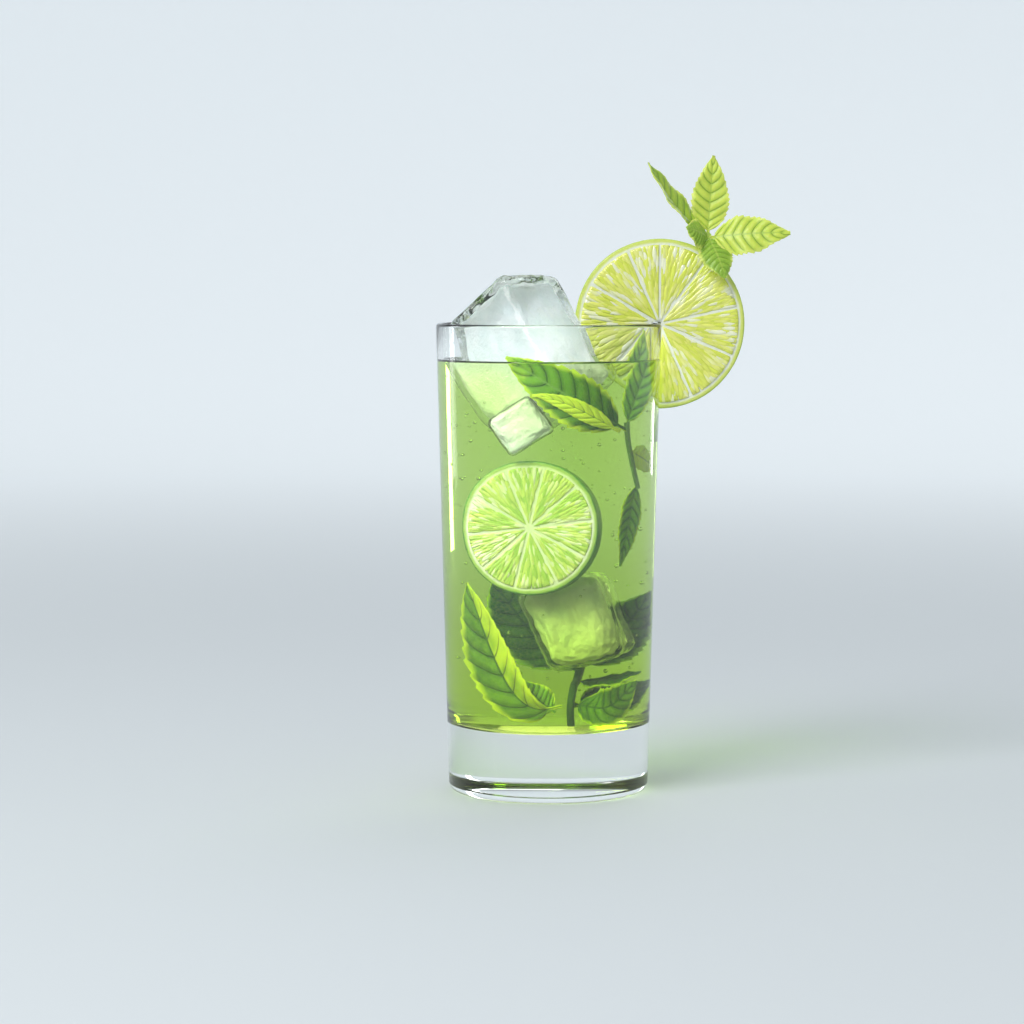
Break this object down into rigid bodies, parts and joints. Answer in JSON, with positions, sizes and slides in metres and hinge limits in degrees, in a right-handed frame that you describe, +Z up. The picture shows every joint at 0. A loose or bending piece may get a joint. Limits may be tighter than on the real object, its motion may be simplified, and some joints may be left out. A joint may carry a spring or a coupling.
{
  "type": "mojito cocktail",
  "caption": "Iced lime and mint drink in a straight highball glass with a heavy clear base, a lime wheel on the rim and mint sprigs inside and above it",
  "frame": {"origin": "middle of the flat underside of the glass", "axes": "+Z up along the glass's axis, +X to the side where the lime wheel hangs on the rim, the viewer at -Y"},
  "size_m": [0.1131, 0.072, 0.2037],
  "materials": {
    "glass": "clear, smooth and polished, with a fire-polished rim",
    "drink": "clear yellow-green liquid, paler near the top",
    "ice": "clear wet ice with a cloudy middle",
    "lime": "moist cut flesh, pale pith and a thin yellow-green rind",
    "mint": "soft green leaf with lighter veins and edges"
  },
  "bodies": {
    "root": {"glass": "glass", "drink": "drink", "ice_block": "ice", "lime_wheel": "lime", "mint_sprig_inner": "mint", "mint_sprig_rim": "mint"}
  },
  "joints": []
}
